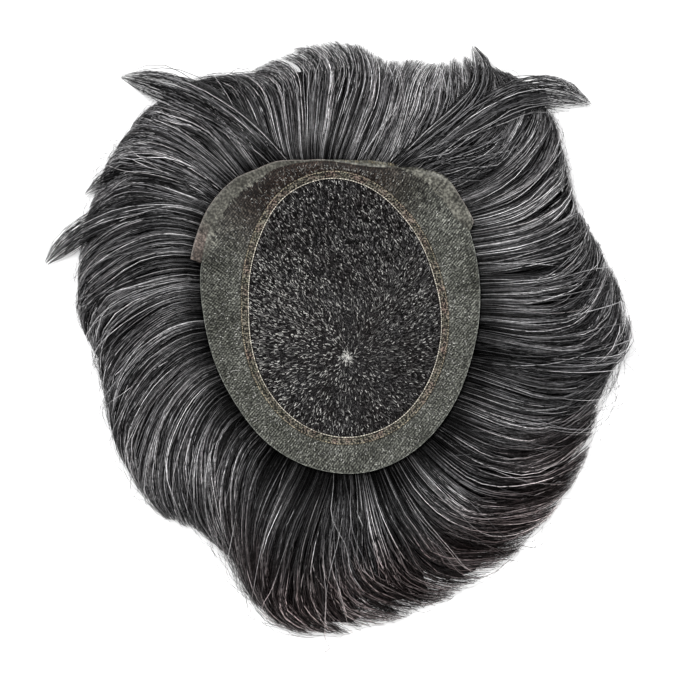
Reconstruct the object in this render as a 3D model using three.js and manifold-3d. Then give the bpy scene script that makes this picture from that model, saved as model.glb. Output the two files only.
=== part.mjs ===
// A toupee lying on its hair, with the inside of its base facing up, as a group of named meshes.
// Millimetres, +Z up, +Y towards the front hairline. The hair rests on z = 0, and the origin is
// under the middle of the whole.
import * as THREE from 'three';
import { mergeVertices } from 'three/addons/utils/BufferGeometryUtils.js';
import Module from 'manifold-3d';

const wasm = await Module();
wasm.setup();

// The base, a shallow bowl: the border's outer outline and the net's outline, seen from above
const BORDER_HALF_WIDTH = 97;
const BORDER_HALF_LENGTH = 110;
const NET_HALF_WIDTH = 67.5;
const NET_HALF_LENGTH = 91;
const NET_SHIFT_X = 1.8; // the net's middle, from the border's
const NET_SHIFT_Y = 6.3;
const CROWN_HEIGHT = 12; // underside of the net above the surface, at its lowest
const BOWL_DEPTH = 29; // from there up to the rim, before the rim column below

// Walls and seams of the base
const BASE_THICKNESS = 1.0; // net and border
const TAPE_THICKNESS = 1.0;
const STRIP_THICKNESS = 1.0;
const SEAM_LAP = 2.6; // how far the net runs under the tape
const TAPE_WIDTH = 5.6;
const STRIP_LAP = 10; // how far the front strip runs under the border
const STRIP_OVERHANG = 8; // how far it stands out past the border
const STRIP_FROM = 34; // degrees, the end of the strip at the right temple
const STRIP_TO = 159; // and at the left temple
const LIP_DROP = 5; // the turned-down edge of the strip
const LIP_FROM = 50; // degrees
const LIP_TO = 96;
const CLEARANCE = 0.3; // between touching pieces

// The hair
const HAIR_REACH = 190; // from the middle of the base to the ends of the hair
const ROOT_INSET = 9; // how far inside the border's edge the outer locks start
const LOCK_WIDTH = 43;
const LOCK_THICKNESS = 21;
const TIP_POINT = 5; // the pointed end of a lock
const CURVE_PULL = 1.05; // how far a lock keeps its first and last direction
const SKIRT_WIDTH = 58; // the under-hair that fills the space below the locks
const SKIRT_TOP_DROP = 7; // its top below the rim
const SKIRT_EDGE = 3; // its height at its outer edge
const CROWN_SHARE = 0.6; // of the border's outline, where the crown hair ends
const PARTING = 0.5; // gap between two groups of hair
const SLIVER = 0.05; // smaller facets are closed up after a cut

const AROUND_STEPS = 48; // facets round a whole outline
const STRIP_STEPS = 21; // and along the front strip
const DEGREE = Math.PI / 180;
const TURN = 360;

// The base's outlines, every 20 degrees from +X: border and net are shares of their ellipses'
// radii, and rim is a share of the bowl's depth
const OUTLINE = [
  { border: 0.99, net: 1.0, rim: 0.98 },
  { border: 1.03, net: 0.96, rim: 0.98 },
  { border: 1.08, net: 0.94, rim: 1.02 },
  { border: 1.08, net: 0.93, rim: 1.12 },
  { border: 0.97, net: 0.96, rim: 1.22 },
  { border: 1.005, net: 1.01, rim: 1.24 },
  { border: 1.07, net: 1.05, rim: 1.14 },
  { border: 1.11, net: 1.03, rim: 1.04 },
  { border: 1.06, net: 1.01, rim: 1.0 },
  { border: 0.99, net: 0.99, rim: 0.98 },
  { border: 0.955, net: 1.0, rim: 0.96 },
  { border: 0.94, net: 1.01, rim: 0.97 },
  { border: 0.96, net: 1.0, rim: 1.0 },
  { border: 0.98, net: 0.99, rim: 1.02 },
  { border: 1.0, net: 1.0, rim: 1.02 },
  { border: 0.995, net: 1.03, rim: 1.0 },
  { border: 0.98, net: 1.04, rim: 0.97 },
  { border: 0.97, net: 1.03, rim: 0.96 },
];

// The front strip's outer edge: how far it stands out, as a share of its overhang
const STRIP_EDGE = [
  { deg: 34, out: 0.2 },
  { deg: 36, out: 0.68 },
  { deg: 45, out: 0.7 },
  { deg: 53, out: 0.96 },
  { deg: 59, out: 0.62 },
  { deg: 66, out: 0.22 },
  { deg: 74, out: 0.48 },
  { deg: 80, out: 0.6 },
  { deg: 88, out: 0.3 },
  { deg: 95, out: 0.12 },
  { deg: 103, out: 0.15 },
  { deg: 113, out: 0.58 },
  { deg: 120, out: 0.61 },
  { deg: 127, out: 0.92 },
  { deg: 147, out: 0.87 },
  { deg: 159, out: 1.0 },
];

// Locks that leave the base's edge, in degrees seen from above: where the root is, which way it
// leaves, where the tip is and which way that points. reach is a share of HAIR_REACH.
const GUIDES = [
  { root: 1, leave: 4, tip: 12, arrive: 70, reach: 1 },
  { root: 12, leave: 9, tip: 18.5, arrive: 85, reach: 0.975 },
  { root: 23, leave: 5, tip: 24, arrive: 98, reach: 0.955 },
  { root: 34, leave: 3, tip: 32.5, arrive: 107, reach: 0.985 },
  { root: 45, leave: -7, tip: 44, arrive: 120, reach: 1.075 },
  { root: 56, leave: -8, tip: 54.5, arrive: 150, reach: 1.1 },
  { root: 67, leave: 16, tip: 63.5, arrive: 152, reach: 1.06 },
  { root: 78, leave: 32, tip: 70.5, arrive: 110, reach: 0.995 },
  { root: 87, leave: 58, tip: 79.5, arrive: 107, reach: 0.965 },
  { root: 94, leave: 84, tip: 89, arrive: 135, reach: 1.015 },
  { root: 101, leave: 108, tip: 100.5, arrive: 160, reach: 1.01 },
  { root: 107, leave: 126, tip: 110.5, arrive: 173, reach: 0.965 },
  { root: 114, leave: 130, tip: 124, arrive: 194, reach: 1.045 },
  { root: 123, leave: 132, tip: 134.5, arrive: 216, reach: 1.053 },
  { root: 134, leave: 137, tip: 147.5, arrive: 233, reach: 1.04 },
  { root: 145, leave: 138, tip: 164.5, arrive: 249, reach: 1 },
  { root: 156, leave: 144, tip: 181, arrive: 272, reach: 0.97 },
  { root: 167, leave: 153, tip: 190.5, arrive: 297, reach: 0.905 },
  { root: 178, leave: 162, tip: 199.5, arrive: 268, reach: 0.927 },
  { root: 190, leave: 170, tip: 213.5, arrive: 292, reach: 0.97 },
  { root: 202, leave: 178, tip: 227.5, arrive: 308, reach: 0.99 },
  { root: 214, leave: 184, tip: 237.5, arrive: 312, reach: 0.95 },
  { root: 226, leave: 190, tip: 246.5, arrive: 300, reach: 0.98 },
  { root: 238, leave: 212, tip: 252.5, arrive: 287, reach: 1.095 },
  { root: 249, leave: 235, tip: 258.5, arrive: 307, reach: 1.16 },
  { root: 259, leave: 253, tip: 264, arrive: 337, reach: 1.18 },
  { root: 267, leave: 267, tip: 272, arrive: 348, reach: 1.175 },
  { root: 274, leave: 283, tip: 286, arrive: 350, reach: 1.12 },
  { root: 280, leave: 292, tip: 298, arrive: 362, reach: 1.1 },
  { root: 287, leave: 298, tip: 309, arrive: 375, reach: 1.075 },
  { root: 295, leave: 303, tip: 320.5, arrive: 390, reach: 1.055 },
  { root: 304, leave: 316, tip: 331, arrive: 402, reach: 1.035 },
  { root: 315, leave: 347, tip: 341, arrive: 402, reach: 1.005 },
  { root: 328, leave: 350, tip: 351, arrive: 420, reach: 1.016 },
  { root: 341, leave: 352, tip: 357.5, arrive: 436, reach: 1.04 },
  { root: 351, leave: 357, tip: 365, arrive: 448, reach: 1.035 },
];

// Single locks that stand out of the outline. width and rise are shares of an ordinary lock's.
const FLICKS = [
  { root: 110, leave: 128, tip: 131.4, arrive: 168, reach: 1.18, width: 0.45, rise: 1.15 },
  { root: 137, leave: 138, tip: 153, arrive: 215, reach: 1.04, width: 0.34, rise: 1.05 },
  { root: 143, leave: 141, tip: 168.4, arrive: 228, reach: 1.1, width: 0.36, rise: 1.05 },
  { root: 66, leave: 40, tip: 42.2, arrive: -25, reach: 1.2, width: 0.5, rise: 1.15 },
  { root: 74, leave: 45, tip: 62.8, arrive: 118, reach: 1.1, width: 0.34, rise: 1.2 },
  { root: 68, leave: 20, tip: 52, arrive: 140, reach: 0.95, width: 0.8, rise: 1.25 },
  { root: 343, leave: 354, tip: 358.6, arrive: 436, reach: 1.055, width: 0.45, rise: 1.1 },
  { root: 271, leave: 276, tip: 279.5, arrive: 330, reach: 1.1, width: 0.7, rise: 1 },
];

// A lock from root to tip: shares of its length, of LOCK_WIDTH, of LOCK_THICKNESS and, for its
// top, of the rim's height. lean moves it off its line, in half widths, to the inside of the swirl.
const LOCK_PROFILE = [
  { along: 0, width: 0.6, thick: 0.65, top: 0.9, lean: 0 },
  { along: 0.2, width: 0.8, thick: 0.92, top: 0.95, lean: 0 },
  { along: 0.43, width: 1.0, thick: 1.0, top: 0.84, lean: 0.1 },
  { along: 0.66, width: 1.08, thick: 0.9, top: 0.62, lean: 0.3 },
  { along: 0.86, width: 0.95, thick: 0.62, top: 0.38, lean: 0.45 },
  { along: 1, width: 0.36, thick: 0.22, top: 0.18, lean: 0.5 },
];

// One lock's section, from its flat underside over its rounded back, in half widths and thicknesses
const LOCK_SECTION = [
  { side: 1, up: 0 },
  { side: 0.72, up: 0.78 },
  { side: 0, up: 1 },
  { side: -0.72, up: 0.78 },
  { side: -1, up: 0 },
];

// Groups of hair, each from its own root angle to the next one's. The angles are corners of the
// outlines, which have one every 7.5 degrees.
const GROUPS = [
  { name: 'front_right_hair', from: 15 },
  { name: 'front_wave_hair', from: 82.5 },
  { name: 'front_left_hair', from: 105 },
  { name: 'left_hair', from: 127.5 },
  { name: 'back_left_hair', from: 180 },
  { name: 'back_hair', from: 240 },
  { name: 'back_right_hair', from: 277.5 },
  { name: 'right_hair', from: 322.5 },
];

const FINISHES = {
  net: { color: 0x1c1b1c, roughness: 0.85, metalness: 0 },
  border: { color: 0x63665c, roughness: 0.5, metalness: 0 },
  strip: { color: 0x8f9185, roughness: 0.35, metalness: 0 },
  tape: { color: 0x6a6352, roughness: 0.7, metalness: 0 },
  hair: { color: 0x242326, roughness: 0.45, metalness: 0 },
};

const lerp = THREE.MathUtils.lerp;

// The value of a column at an angle, from rows spaced evenly round a turn, on a smooth closed curve.
function around(rows, column, deg) {
  const at = (((deg % TURN) + TURN) % TURN) * (rows.length / TURN);
  const first = Math.floor(at);
  const t = at - first;
  const value = (k) => rows[(first + k + rows.length) % rows.length][column];
  const [a, b, c, d] = [value(-1), value(0), value(1), value(2)];
  return b + 0.5 * t * (c - a + t * (2 * a - 5 * b + 4 * c - d + t * (3 * (b - c) + d - a)));
}

// The value of a column where another column, which rises from row to row, has a given value.
function between(rows, key, column, at) {
  const next = rows.findIndex((row) => row[key] > at);
  if (next === 0) return rows[0][column];
  if (next < 0) return rows.at(-1)[column];
  const [below, above] = [rows[next - 1], rows[next]];
  return lerp(below[column], above[column], (at - below[key]) / (above[key] - below[key]));
}

function ellipseRadius(halfWidth, halfLength, deg) {
  const [x, y] = [Math.cos(deg * DEGREE) / halfWidth, Math.sin(deg * DEGREE) / halfLength];
  return 1 / Math.hypot(x, y);
}

function borderRadius(deg) {
  return around(OUTLINE, 'border', deg) * ellipseRadius(BORDER_HALF_WIDTH, BORDER_HALF_LENGTH, deg);
}

function polar(deg, radius) {
  return new THREE.Vector2(Math.cos(deg * DEGREE) * radius, Math.sin(deg * DEGREE) * radius);
}

function borderPoint(deg, out = 0) {
  return polar(deg, borderRadius(deg) + out);
}

function netPoint(deg, out = 0) {
  const radius = around(OUTLINE, 'net', deg) * ellipseRadius(NET_HALF_WIDTH, NET_HALF_LENGTH, deg);
  return polar(deg, radius + out).add(new THREE.Vector2(NET_SHIFT_X, NET_SHIFT_Y));
}

function stripPoint(deg, out = 0) {
  const edge = Math.max(between(STRIP_EDGE, 'deg', 'out', deg), 0) * STRIP_OVERHANG;
  return borderPoint(deg, edge + out);
}

function rimHeight(deg) {
  return CROWN_HEIGHT + BOWL_DEPTH * around(OUTLINE, 'rim', deg);
}

// Height of the bowl's underside above a point, also a little past its rim.
function bowlHeight(x, y) {
  const deg = Math.atan2(y, x) / DEGREE;
  const out = Math.hypot(x, y) / borderRadius(deg);
  return CROWN_HEIGHT + (rimHeight(deg) - CROWN_HEIGHT) * out * out;
}

// A closed body from loose triangles: corners that meet become one, and flat slivers are dropped.
function solid(corners) {
  const loose = new THREE.BufferGeometry();
  loose.setAttribute('position', new THREE.Float32BufferAttribute(corners, 3));
  const merged = mergeVertices(loose, 1e-3);
  const kept = [];
  for (let i = 0; i < merged.index.count; i += 3) {
    const [a, b, c] = [0, 1, 2].map((k) => merged.index.getX(i + k));
    if (a !== b && b !== c && c !== a) kept.push(a, b, c);
  }
  return new wasm.Manifold(new wasm.Mesh({
    numProp: 3,
    vertProperties: merged.attributes.position.array,
    triVerts: new Uint32Array(kept),
  }));
}

function centre(row) {
  return row.reduce((sum, p) => sum.add(p), new THREE.Vector3()).divideScalar(row.length);
}

// The skin between rows of points, as loose triangles. Each row is closed, the first one is filled
// from its centre, and the last one runs to a point.
function skin(rows, point) {
  const corners = [];
  const put = (...points) => points.forEach((p) => corners.push(p.x, p.y, p.z));
  const count = rows[0].length;
  for (let j = 0; j < count; j++) {
    const next = (j + 1) % count;
    for (let i = 0; i + 1 < rows.length; i++) {
      put(rows[i][j], rows[i + 1][j], rows[i + 1][next]);
      put(rows[i][j], rows[i + 1][next], rows[i][next]);
    }
    put(centre(rows[0]), rows[0][j], rows[0][next]);
    put(point, rows.at(-1)[next], rows.at(-1)[j]);
  }
  return corners;
}

// A sheet between an inside and an outside line, both given by angle, and between two heights,
// given by x, y, the share of the way outward and the angle. past moves its ends apart, in degrees.
function sheet({
  inside, outside, low, high, rings, from = 0, to = TURN, past = 0, steps = AROUND_STEPS,
}) {
  const whole = to - from === TURN;
  const corners = [];
  const stations = Array.from({ length: steps + 1 }, (_, i) => lerp(from, to, i / steps));
  stations[0] -= past;
  stations[steps] = whole ? from : to + past;
  const at = (i, j, height) => {
    const deg = stations[i];
    const share = j / rings;
    const p = inside(deg).lerp(outside(deg), share);
    return [p.x, p.y, height(p.x, p.y, share, deg)];
  };
  const quad = (a, b, c, d) => corners.push(...a, ...b, ...c, ...a, ...c, ...d);
  for (let i = 0; i < steps; i++) {
    for (let j = 0; j < rings; j++) {
      quad(at(i, j, high), at(i, j + 1, high), at(i + 1, j + 1, high), at(i + 1, j, high));
      quad(at(i, j, low), at(i + 1, j, low), at(i + 1, j + 1, low), at(i, j + 1, low));
    }
    quad(at(i, rings, low), at(i + 1, rings, low), at(i + 1, rings, high), at(i, rings, high));
    quad(at(i, 0, low), at(i, 0, high), at(i + 1, 0, high), at(i + 1, 0, low));
  }
  for (let j = 0; j < (whole ? 0 : rings); j++) {
    quad(at(0, j, low), at(0, j + 1, low), at(0, j + 1, high), at(0, j, high));
    quad(at(steps, j, low), at(steps, j, high), at(steps, j + 1, high), at(steps, j + 1, low));
  }
  return solid(corners);
}

const middleOfBase = () => new THREE.Vector2(NET_SHIFT_X, NET_SHIFT_Y);

function crownNet() {
  return sheet({
    inside: middleOfBase,
    outside: (deg) => netPoint(deg, SEAM_LAP),
    low: (x, y) => bowlHeight(x, y),
    high: (x, y) => bowlHeight(x, y) + BASE_THICKNESS,
    rings: 4,
  });
}

function border() {
  return sheet({
    inside: (deg) => netPoint(deg, SEAM_LAP + CLEARANCE),
    outside: (deg) => borderPoint(deg),
    low: (x, y) => bowlHeight(x, y),
    high: (x, y) => bowlHeight(x, y) + BASE_THICKNESS,
    rings: 2,
  });
}

function seamTape() {
  const seat = BASE_THICKNESS + CLEARANCE;
  return sheet({
    inside: (deg) => netPoint(deg),
    outside: (deg) => netPoint(deg, TAPE_WIDTH),
    low: (x, y) => bowlHeight(x, y) + seat,
    high: (x, y) => bowlHeight(x, y) + seat + TAPE_THICKNESS,
    rings: 1,
  });
}

// The front strip's underside. Its outermost part turns down between the lip's two ends.
function stripHeight(x, y, share, deg) {
  const past = THREE.MathUtils.clamp((deg - LIP_FROM) / (LIP_TO - LIP_FROM), 0, 1);
  const turned = THREE.MathUtils.clamp(4 * share - 3, 0, 1);
  const drop = LIP_DROP * Math.sin(past * Math.PI) * turned;
  return bowlHeight(x, y) - CLEARANCE - STRIP_THICKNESS - drop;
}

function frontStrip() {
  return sheet({
    inside: (deg) => borderPoint(deg, -STRIP_LAP),
    outside: (deg) => stripPoint(deg),
    low: stripHeight,
    high: (...at) => stripHeight(...at) + STRIP_THICKNESS,
    rings: 4,
    from: STRIP_FROM,
    to: STRIP_TO,
    steps: STRIP_STEPS,
  });
}

// What the hair leaves free for the strip, up to a height. It turns down a little before the
// strip does, and reaches past its ends.
function stripSpace(above) {
  return sheet({
    inside: (deg) => borderPoint(deg, -STRIP_LAP - CLEARANCE),
    outside: (deg) => stripPoint(deg, CLEARANCE),
    low: (x, y, share, deg) => stripHeight(x, y, 1.35 * share, deg) - CLEARANCE,
    high: () => above,
    rings: 4,
    from: STRIP_FROM,
    to: STRIP_TO,
    past: 0.3,
    steps: STRIP_STEPS,
  });
}

// The line of a lock seen from above: its points, and which way it runs at each.
function lockLine({ root, leave, tip, arrive, reach }, shares) {
  const start = borderPoint(root, -ROOT_INSET);
  const end = polar(tip, reach * HAIR_REACH);
  const pull = CURVE_PULL * start.distanceTo(end);
  const [first, last] = [polar(leave, pull), polar(arrive, pull)];
  return shares.map((t) => {
    const [t2, t3] = [t * t, t * t * t];
    const point = start.clone().multiplyScalar(2 * t3 - 3 * t2 + 1)
      .addScaledVector(first, t3 - 2 * t2 + t)
      .addScaledVector(end, 3 * t2 - 2 * t3)
      .addScaledVector(last, t3 - t2);
    const way = start.clone().multiplyScalar(6 * t2 - 6 * t)
      .addScaledVector(first, 3 * t2 - 4 * t + 1)
      .addScaledVector(end, 6 * t - 6 * t2)
      .addScaledVector(last, 3 * t2 - 2 * t);
    return { point, way: way.normalize() };
  });
}

// The guide for any root angle, from the rows on both sides of it.
function guideAt(root) {
  const turned = (row, turn) => ({
    root: row.root + turn, leave: row.leave + turn, tip: row.tip + turn,
    arrive: row.arrive + turn, reach: row.reach,
  });
  const rows = [-TURN, 0, TURN].flatMap((turn) => GUIDES.map((row) => turned(row, turn)));
  const value = (column) => between(rows, 'root', column, root);
  return {
    root, leave: value('leave'), tip: value('tip'), arrive: value('arrive'), reach: value('reach'),
  };
}

function lock(guide) {
  const line = lockLine(guide, LOCK_PROFILE.map((row) => row.along));
  const crest = rimHeight(guide.root) * (guide.rise ?? 1);
  const rows = LOCK_PROFILE.map(({ width, thick, top, lean }, i) => {
    const { point, way } = line[i];
    const half = width * LOCK_WIDTH * (guide.width ?? 1) / 2;
    const thickness = thick * LOCK_THICKNESS;
    const under = Math.min(top * crest, rimHeight(guide.root)) - thickness;
    return LOCK_SECTION.map(({ side, up }) => {
      const out = (side - (guide.width ? 0 : lean)) * half;
      return new THREE.Vector3(point.x + way.y * out, point.y - way.x * out, under + up * thickness);
    });
  });
  const { way } = line.at(-1);
  const point = centre(rows.at(-1)).add(new THREE.Vector3(way.x, way.y, 0).multiplyScalar(TIP_POINT));
  return solid(skin(rows, point));
}

// The hair under the base and just outside it, before the base is cut out of its top.
function underHair() {
  const pad = sheet({
    inside: middleOfBase,
    outside: (deg) => borderPoint(deg, -CLEARANCE),
    low: () => 0,
    high: (x, y) => bowlHeight(x, y) + BASE_THICKNESS,
    rings: 4,
  });
  const skirt = sheet({
    inside: (deg) => borderPoint(deg, -ROOT_INSET),
    outside: (deg) => borderPoint(deg, SKIRT_WIDTH),
    low: () => 0,
    high: (x, y, share, deg) => lerp(rimHeight(deg) - SKIRT_TOP_DROP, SKIRT_EDGE, share),
    rings: 2,
  });
  return pad.add(skirt);
}

// Everything above the underside of the base, with its clearance.
function baseSpace(above) {
  return sheet({
    inside: middleOfBase,
    outside: (deg) => borderPoint(deg, CLEARANCE),
    low: (x, y) => bowlHeight(x, y) - CLEARANCE,
    high: () => above,
    rings: 8,
  });
}

// The prism over a closed line of points in the plan.
function prism(points, low, high) {
  const shape = new THREE.Shape(points);
  const geometry = new THREE.ExtrudeGeometry(shape, { depth: high - low, bevelEnabled: false });
  geometry.translate(0, 0, low);
  return solid(Array.from(geometry.attributes.position.array));
}

// One side of the parting at a root angle, from the crown hair out past the tips.
function partingLine(root, far, side) {
  const guide = guideAt(root);
  const shares = LOCK_PROFILE.map((row) => row.along);
  const shift = side * PARTING / 2;
  const start = polar(root, borderRadius(root) * CROWN_SHARE);
  const across = polar(root + 90, shift);
  const line = lockLine(guide, shares).map(({ point, way }) =>
    new THREE.Vector2(point.x - way.y * shift, point.y + way.x * shift));
  const beyond = polar(guide.tip, far).add(polar(guide.tip + 90, shift));
  return [start.add(across), ...line, beyond];
}

// The plan of a group of hair, between the partings at two root angles.
function groupCell(from, to, far) {
  const [right, left] = [partingLine(from, far, 1), partingLine(to, far, -1)];
  const arc = (radius, a, b, steps) => Array.from({ length: steps - 1 }, (_, i) => {
    const deg = lerp(a, b, (i + 1) / steps);
    return polar(deg, radius(deg));
  });
  const outer = arc(() => far, guideAt(from).tip, guideAt(to).tip, 6);
  const corners = (to - from) * AROUND_STEPS / TURN;
  const inner = arc((deg) => borderRadius(deg) * CROWN_SHARE, to, from, corners);
  return [...right, ...outer, ...left.reverse(), ...inner];
}

function crownCell() {
  return Array.from({ length: AROUND_STEPS }, (_, i) => {
    const deg = TURN * i / AROUND_STEPS;
    return polar(deg, borderRadius(deg) * CROWN_SHARE - PARTING);
  });
}

// The largest of the bodies that a cut leaves, without its slivers.
function largest(made) {
  const body = made.decompose().reduce((a, b) => (b.volume() > a.volume() ? b : a));
  return body.simplify(SLIVER);
}

// All the hair as named solids: the crown hair and the groups around it.
function hairSolids() {
  const far = HAIR_REACH * 1.6;
  const above = HAIR_REACH;
  const floor = prism([polar(0, 2 * far), polar(90, 2 * far), polar(180, 2 * far),
    polar(270, 2 * far)], -above, 0);
  const locks = [...GUIDES, ...FLICKS].map(lock);
  const whole = wasm.Manifold.union([underHair(), ...locks])
    .subtract(baseSpace(above))
    .subtract(stripSpace(above))
    .subtract(floor);
  const groups = GROUPS.map(({ name, from }, i) => {
    const next = GROUPS[i + 1]?.from ?? GROUPS[0].from + TURN;
    return [name, largest(whole.intersect(prism(groupCell(from, next, far), -1, above)))];
  });
  return [['crown_hair', largest(whole.intersect(prism(crownCell(), -1, above)))], ...groups];
}

function namedMesh(name, made, finish) {
  const { vertProperties, triVerts, numProp } = made.getMesh();
  const geometry = new THREE.BufferGeometry();
  const points = Array.from({ length: vertProperties.length / numProp }, (_, i) =>
    [0, 1, 2].map((k) => vertProperties[i * numProp + k])).flat();
  geometry.setAttribute('position', new THREE.Float32BufferAttribute(points, 3));
  geometry.setIndex(new THREE.BufferAttribute(triVerts, 1));
  geometry.computeVertexNormals();
  const mesh = new THREE.Mesh(geometry, new THREE.MeshStandardMaterial(finish));
  mesh.name = name;
  return mesh;
}

const toupee = new THREE.Group();
toupee.add(
  namedMesh('crown_net', crownNet(), FINISHES.net),
  namedMesh('border', border(), FINISHES.border),
  namedMesh('seam_tape', seamTape(), FINISHES.tape),
  namedMesh('front_strip', frontStrip(), FINISHES.strip),
  ...hairSolids().map(([name, made]) => namedMesh(name, made, FINISHES.hair)),
);

// The origin goes under the middle of the whole.
const middle = new THREE.Box3().setFromObject(toupee).getCenter(new THREE.Vector3());
toupee.children.forEach((mesh) => mesh.position.set(-middle.x, -middle.y, 0));

export default toupee;
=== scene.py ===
"""The looks of a toupee that lies on its hair with the inside of its base facing up.

The hair is made of single strands, the base of sheets, knots and stitches. Lengths below are in
millimetres round the middle of the base; build() turns them into metres in the row frame.
"""

import math

import bpy
import numpy as np
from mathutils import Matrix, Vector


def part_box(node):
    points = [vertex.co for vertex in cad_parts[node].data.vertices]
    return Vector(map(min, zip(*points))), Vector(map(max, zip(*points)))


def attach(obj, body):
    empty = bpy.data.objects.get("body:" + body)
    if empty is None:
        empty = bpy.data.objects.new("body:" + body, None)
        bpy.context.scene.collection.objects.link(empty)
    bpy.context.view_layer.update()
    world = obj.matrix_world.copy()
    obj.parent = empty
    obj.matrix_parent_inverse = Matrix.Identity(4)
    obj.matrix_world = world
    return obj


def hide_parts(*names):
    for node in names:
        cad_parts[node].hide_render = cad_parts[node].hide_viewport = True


SEED = 7
TURN = 360.0
MM_PER_M = 1000

# The base, as in the part's source
BORDER_HALF = (97.0, 110.0)
NET_HALF = (67.5, 91.0)
NET_MIDDLE = np.array([1.8, 6.3])
CROWN_HEIGHT = 12.0
BOWL_DEPTH = 29.0
SEAM_LAP = 2.6
TAPE_WIDTH = 5.6
CLEARANCE = 0.3
WHORL = np.array([4.5, -28.0])  # where the knotted hair turns
NET_SWEEP = 124.0  # the way that it is combed in front of that, in degrees
STRIP_LAP = 10.0
STRIP_OVERHANG = 8.0
STRIP_ENDS = (34.0, 159.0)
LIP_DROP = 5.0
LIP_ENDS = (50.0, 96.0)
# Round the turn from +X: the outlines of the border and of the net as shares of their ellipses, and
# the rim's height over the crown as a share of BOWL_DEPTH
BORDER = [0.99, 1.03, 1.08, 1.08, 0.97, 1.005, 1.07, 1.11, 1.06, 0.99, 0.955, 0.94, 0.96, 0.98,
          1.0, 0.995, 0.98, 0.97]
NET = [1.0, 0.96, 0.94, 0.93, 0.96, 1.01, 1.05, 1.03, 1.01, 0.99, 1.0, 1.01, 1.0, 0.99, 1.0, 1.03,
       1.04, 1.03]
RIM = [0.98, 0.98, 1.02, 1.12, 1.22, 1.24, 1.14, 1.04, 1.0, 0.98, 0.96, 0.97, 1.0, 1.02, 1.02, 1.0,
       0.97, 0.96]
# How far the strip reaches past the border, by angle, as a share of STRIP_OVERHANG
STRIP_EDGE = np.array([
    (34, 0.2), (36, 0.68), (45, 0.7), (53, 0.96), (59, 0.62), (66, 0.22), (74, 0.48), (80, 0.6),
    (88, 0.3), (95, 0.12), (103, 0.15), (113, 0.58), (120, 0.61), (127, 0.92), (147, 0.87), (159, 1)])

# The hair, as in the part's source: root, leave, tip and arrive in degrees, then reach
HAIR_REACH = 190.0
ROOT_INSET = 9.0
CURVE_PULL = 1.05
GUIDES = np.array([
    (1, 4, 12, 70, 1), (12, 9, 18.5, 85, 0.975), (23, 5, 24, 98, 0.955), (34, 3, 32.5, 107, 0.985),
    (45, -7, 44, 120, 1.075), (56, -8, 54.5, 150, 1.1), (67, 16, 63.5, 152, 1.06),
    (78, 32, 70.5, 110, 0.995), (87, 58, 79.5, 107, 0.965), (94, 84, 89, 135, 1.015),
    (101, 108, 100.5, 160, 1.01), (107, 126, 110.5, 173, 0.965), (114, 130, 124, 194, 1.045),
    (123, 132, 134.5, 216, 1.053), (134, 137, 147.5, 233, 1.04), (145, 138, 164.5, 249, 1),
    (156, 144, 181, 272, 0.97), (167, 153, 190.5, 297, 0.905), (178, 162, 199.5, 268, 0.927),
    (190, 170, 213.5, 292, 0.97), (202, 178, 227.5, 308, 0.99), (214, 184, 237.5, 312, 0.95),
    (226, 190, 246.5, 300, 0.98), (238, 212, 252.5, 287, 1.095), (249, 235, 258.5, 307, 1.16),
    (259, 253, 264, 337, 1.18), (267, 267, 272, 348, 1.175), (274, 283, 286, 350, 1.12),
    (280, 292, 298, 362, 1.1), (287, 298, 309, 375, 1.075), (295, 303, 320.5, 390, 1.055),
    (304, 316, 331, 402, 1.035), (315, 347, 341, 402, 1.005), (328, 350, 351, 420, 1.016),
    (341, 352, 357.5, 436, 1.04), (351, 357, 365, 448, 1.035)])
# How the strands differ from their solids: in front their ends are turned by some degrees less, and
# at the lower right they bend later and more sharply, by this share. Middle and half width of each
# zone and the width of its soft edge, in degrees of root angle.
FRONT_TURN = 55.0
FRONT_ZONE = (76, 24, 24)
LATE_BEND = 0.7
LATE_ZONE = (315, 75, 30)
# Single locks that stand out: as in GUIDES, then their share of LOCK_WIDTH and of the rim's height
LOCK_WIDTH = 43.0
FLICKS = np.array([
    (110, 128, 131.4, 168, 1.18, 0.45, 1.15), (137, 138, 153, 215, 1.04, 0.34, 1.05),
    (143, 141, 168.4, 228, 1.1, 0.36, 1.05), (66, 40, 42.2, -25, 1.2, 0.5, 1.15),
    (74, 45, 62.8, 118, 1.1, 0.34, 1.2), (68, 20, 52, 140, 0.95, 0.8, 1.25),
    (343, 354, 358.6, 436, 1.055, 0.45, 1.1), (271, 276, 279.5, 330, 1.1, 0.7, 1)])
# Along a lock: height of its top as a share of the rim's, and its width as a share of LOCK_WIDTH
TOP_ALONG = [0, 0.17, 0.4, 0.64, 0.84, 0.95, 1]
TOP_SHARE = [0.86, 0.94, 0.87, 0.66, 0.41, 0.27, 0.18]
WIDTH_SHARE = [0.6, 0.75, 0.98, 1.08, 0.98, 0.75, 0.36]
# The hair's nodes, and the root angle at which each starts
GROUPS = [("front_right_hair", 15), ("front_wave_hair", 82.5), ("front_left_hair", 105),
          ("left_hair", 127.5), ("back_left_hair", 180), ("back_hair", 240),
          ("back_right_hair", 277.5), ("right_hair", 322.5)]

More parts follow.
